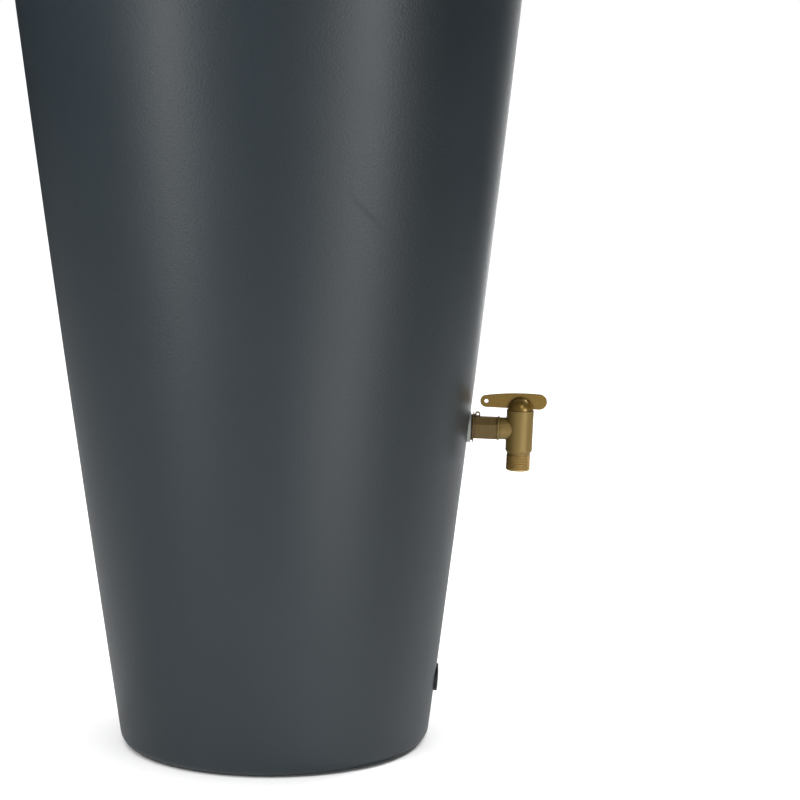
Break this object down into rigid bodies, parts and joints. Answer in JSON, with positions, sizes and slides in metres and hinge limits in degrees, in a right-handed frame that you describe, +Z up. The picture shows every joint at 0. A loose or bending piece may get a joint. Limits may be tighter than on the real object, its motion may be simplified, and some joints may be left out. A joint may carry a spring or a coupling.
{
  "type": "rain barrel",
  "caption": "Tall tapered plastic rain barrel with a lift-off lid, a leaf strainer, a quarter-turn lever tap and a plugged lower port.",
  "frame": {"origin": "centre of the foot ring, on the ground", "axes": "+Z up along the barrel's axis, +X towards the tap"},
  "size_m": [0.6276, 0.6556, 1.0741],
  "materials": {
    "barrel_plastic": "satin moulded plastic with a fine orange-peel grain",
    "black_plastic": "satin black moulded plastic",
    "tap_plastic": "brass-coloured plastic, satin",
    "grey_rubber": "smooth light grey rubber",
    "black_rubber": "smooth black rubber",
    "stainless_steel": "plain stainless steel",
    "steel_mesh": "woven stainless steel wire"
  },
  "bodies": {
    "barrel": {"barrel_shell": "barrel_plastic", "tap_seal": "grey_rubber", "tap_inlet_fitting": "tap_plastic", "tap_inner_washer": "black_rubber", "tap_back_nut": "black_plastic", "tap_spigot_ring": "black_rubber", "tap_body": "tap_plastic", "blanking_plug": "black_plastic", "blanking_seal": "black_rubber", "blanking_inner_washer": "black_rubber", "blanking_back_nut": "black_plastic"},
    "lid": {"lid": "barrel_plastic"},
    "strainer": {"leaf_strainer": "black_plastic", "strainer_screen": "steel_mesh"},
    "lever": {"tap_lever": "tap_plastic", "valve_plug": "black_plastic", "valve_ring_upper": "black_rubber", "valve_ring_lower": "black_rubber", "lever_screw": "stainless_steel"}
  },
  "joints": [
    {"name": "lid_lift", "type": "slide", "parent": "barrel", "child": "lid", "axis": [0, 0, 1], "range_m": [0, 0.25]},
    {"name": "strainer_lift", "type": "slide", "parent": "lid", "child": "strainer", "axis": [0, 0, 1], "range_m": [0, 0.12]},
    {"name": "tap_turn", "type": "hinge", "parent": "barrel", "child": "lever", "pos_m": [0.27076, 0, 0.34787], "axis": [0.0384, 0, 0.9993], "range_deg": [0, 90]}
  ]
}
